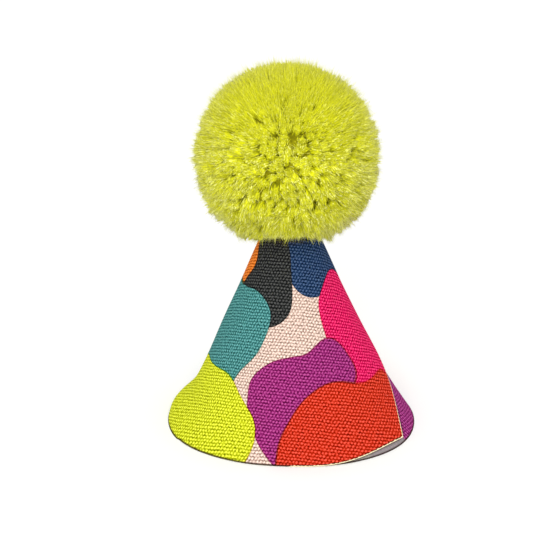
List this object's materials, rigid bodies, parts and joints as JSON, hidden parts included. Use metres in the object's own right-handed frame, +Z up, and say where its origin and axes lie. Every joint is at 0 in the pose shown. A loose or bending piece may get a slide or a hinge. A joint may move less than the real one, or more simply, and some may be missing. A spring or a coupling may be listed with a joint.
{
  "type": "party hat",
  "caption": "Small cone party hat rolled from printed canvas, open below, with a lapped seam and a large yarn pompom on its tip.",
  "frame": {"origin": "middle of the hat as seen from above, on the surface its rim stands on", "axes": "+Z up through the pompom, the front towards -Y with the lapped edge at its right, +X to the right as seen from the front"},
  "size_m": [0.1016, 0.0946, 0.1487],
  "materials": {
    "canvas": "matt printed cotton canvas in free-form patches of red, lime, charcoal, magenta, pink, blue, orange and cream",
    "yarn": "matt brushed yarn, chartreuse"
  },
  "bodies": {
    "root": {"cone": "canvas", "pompom": "yarn"}
  },
  "joints": []
}
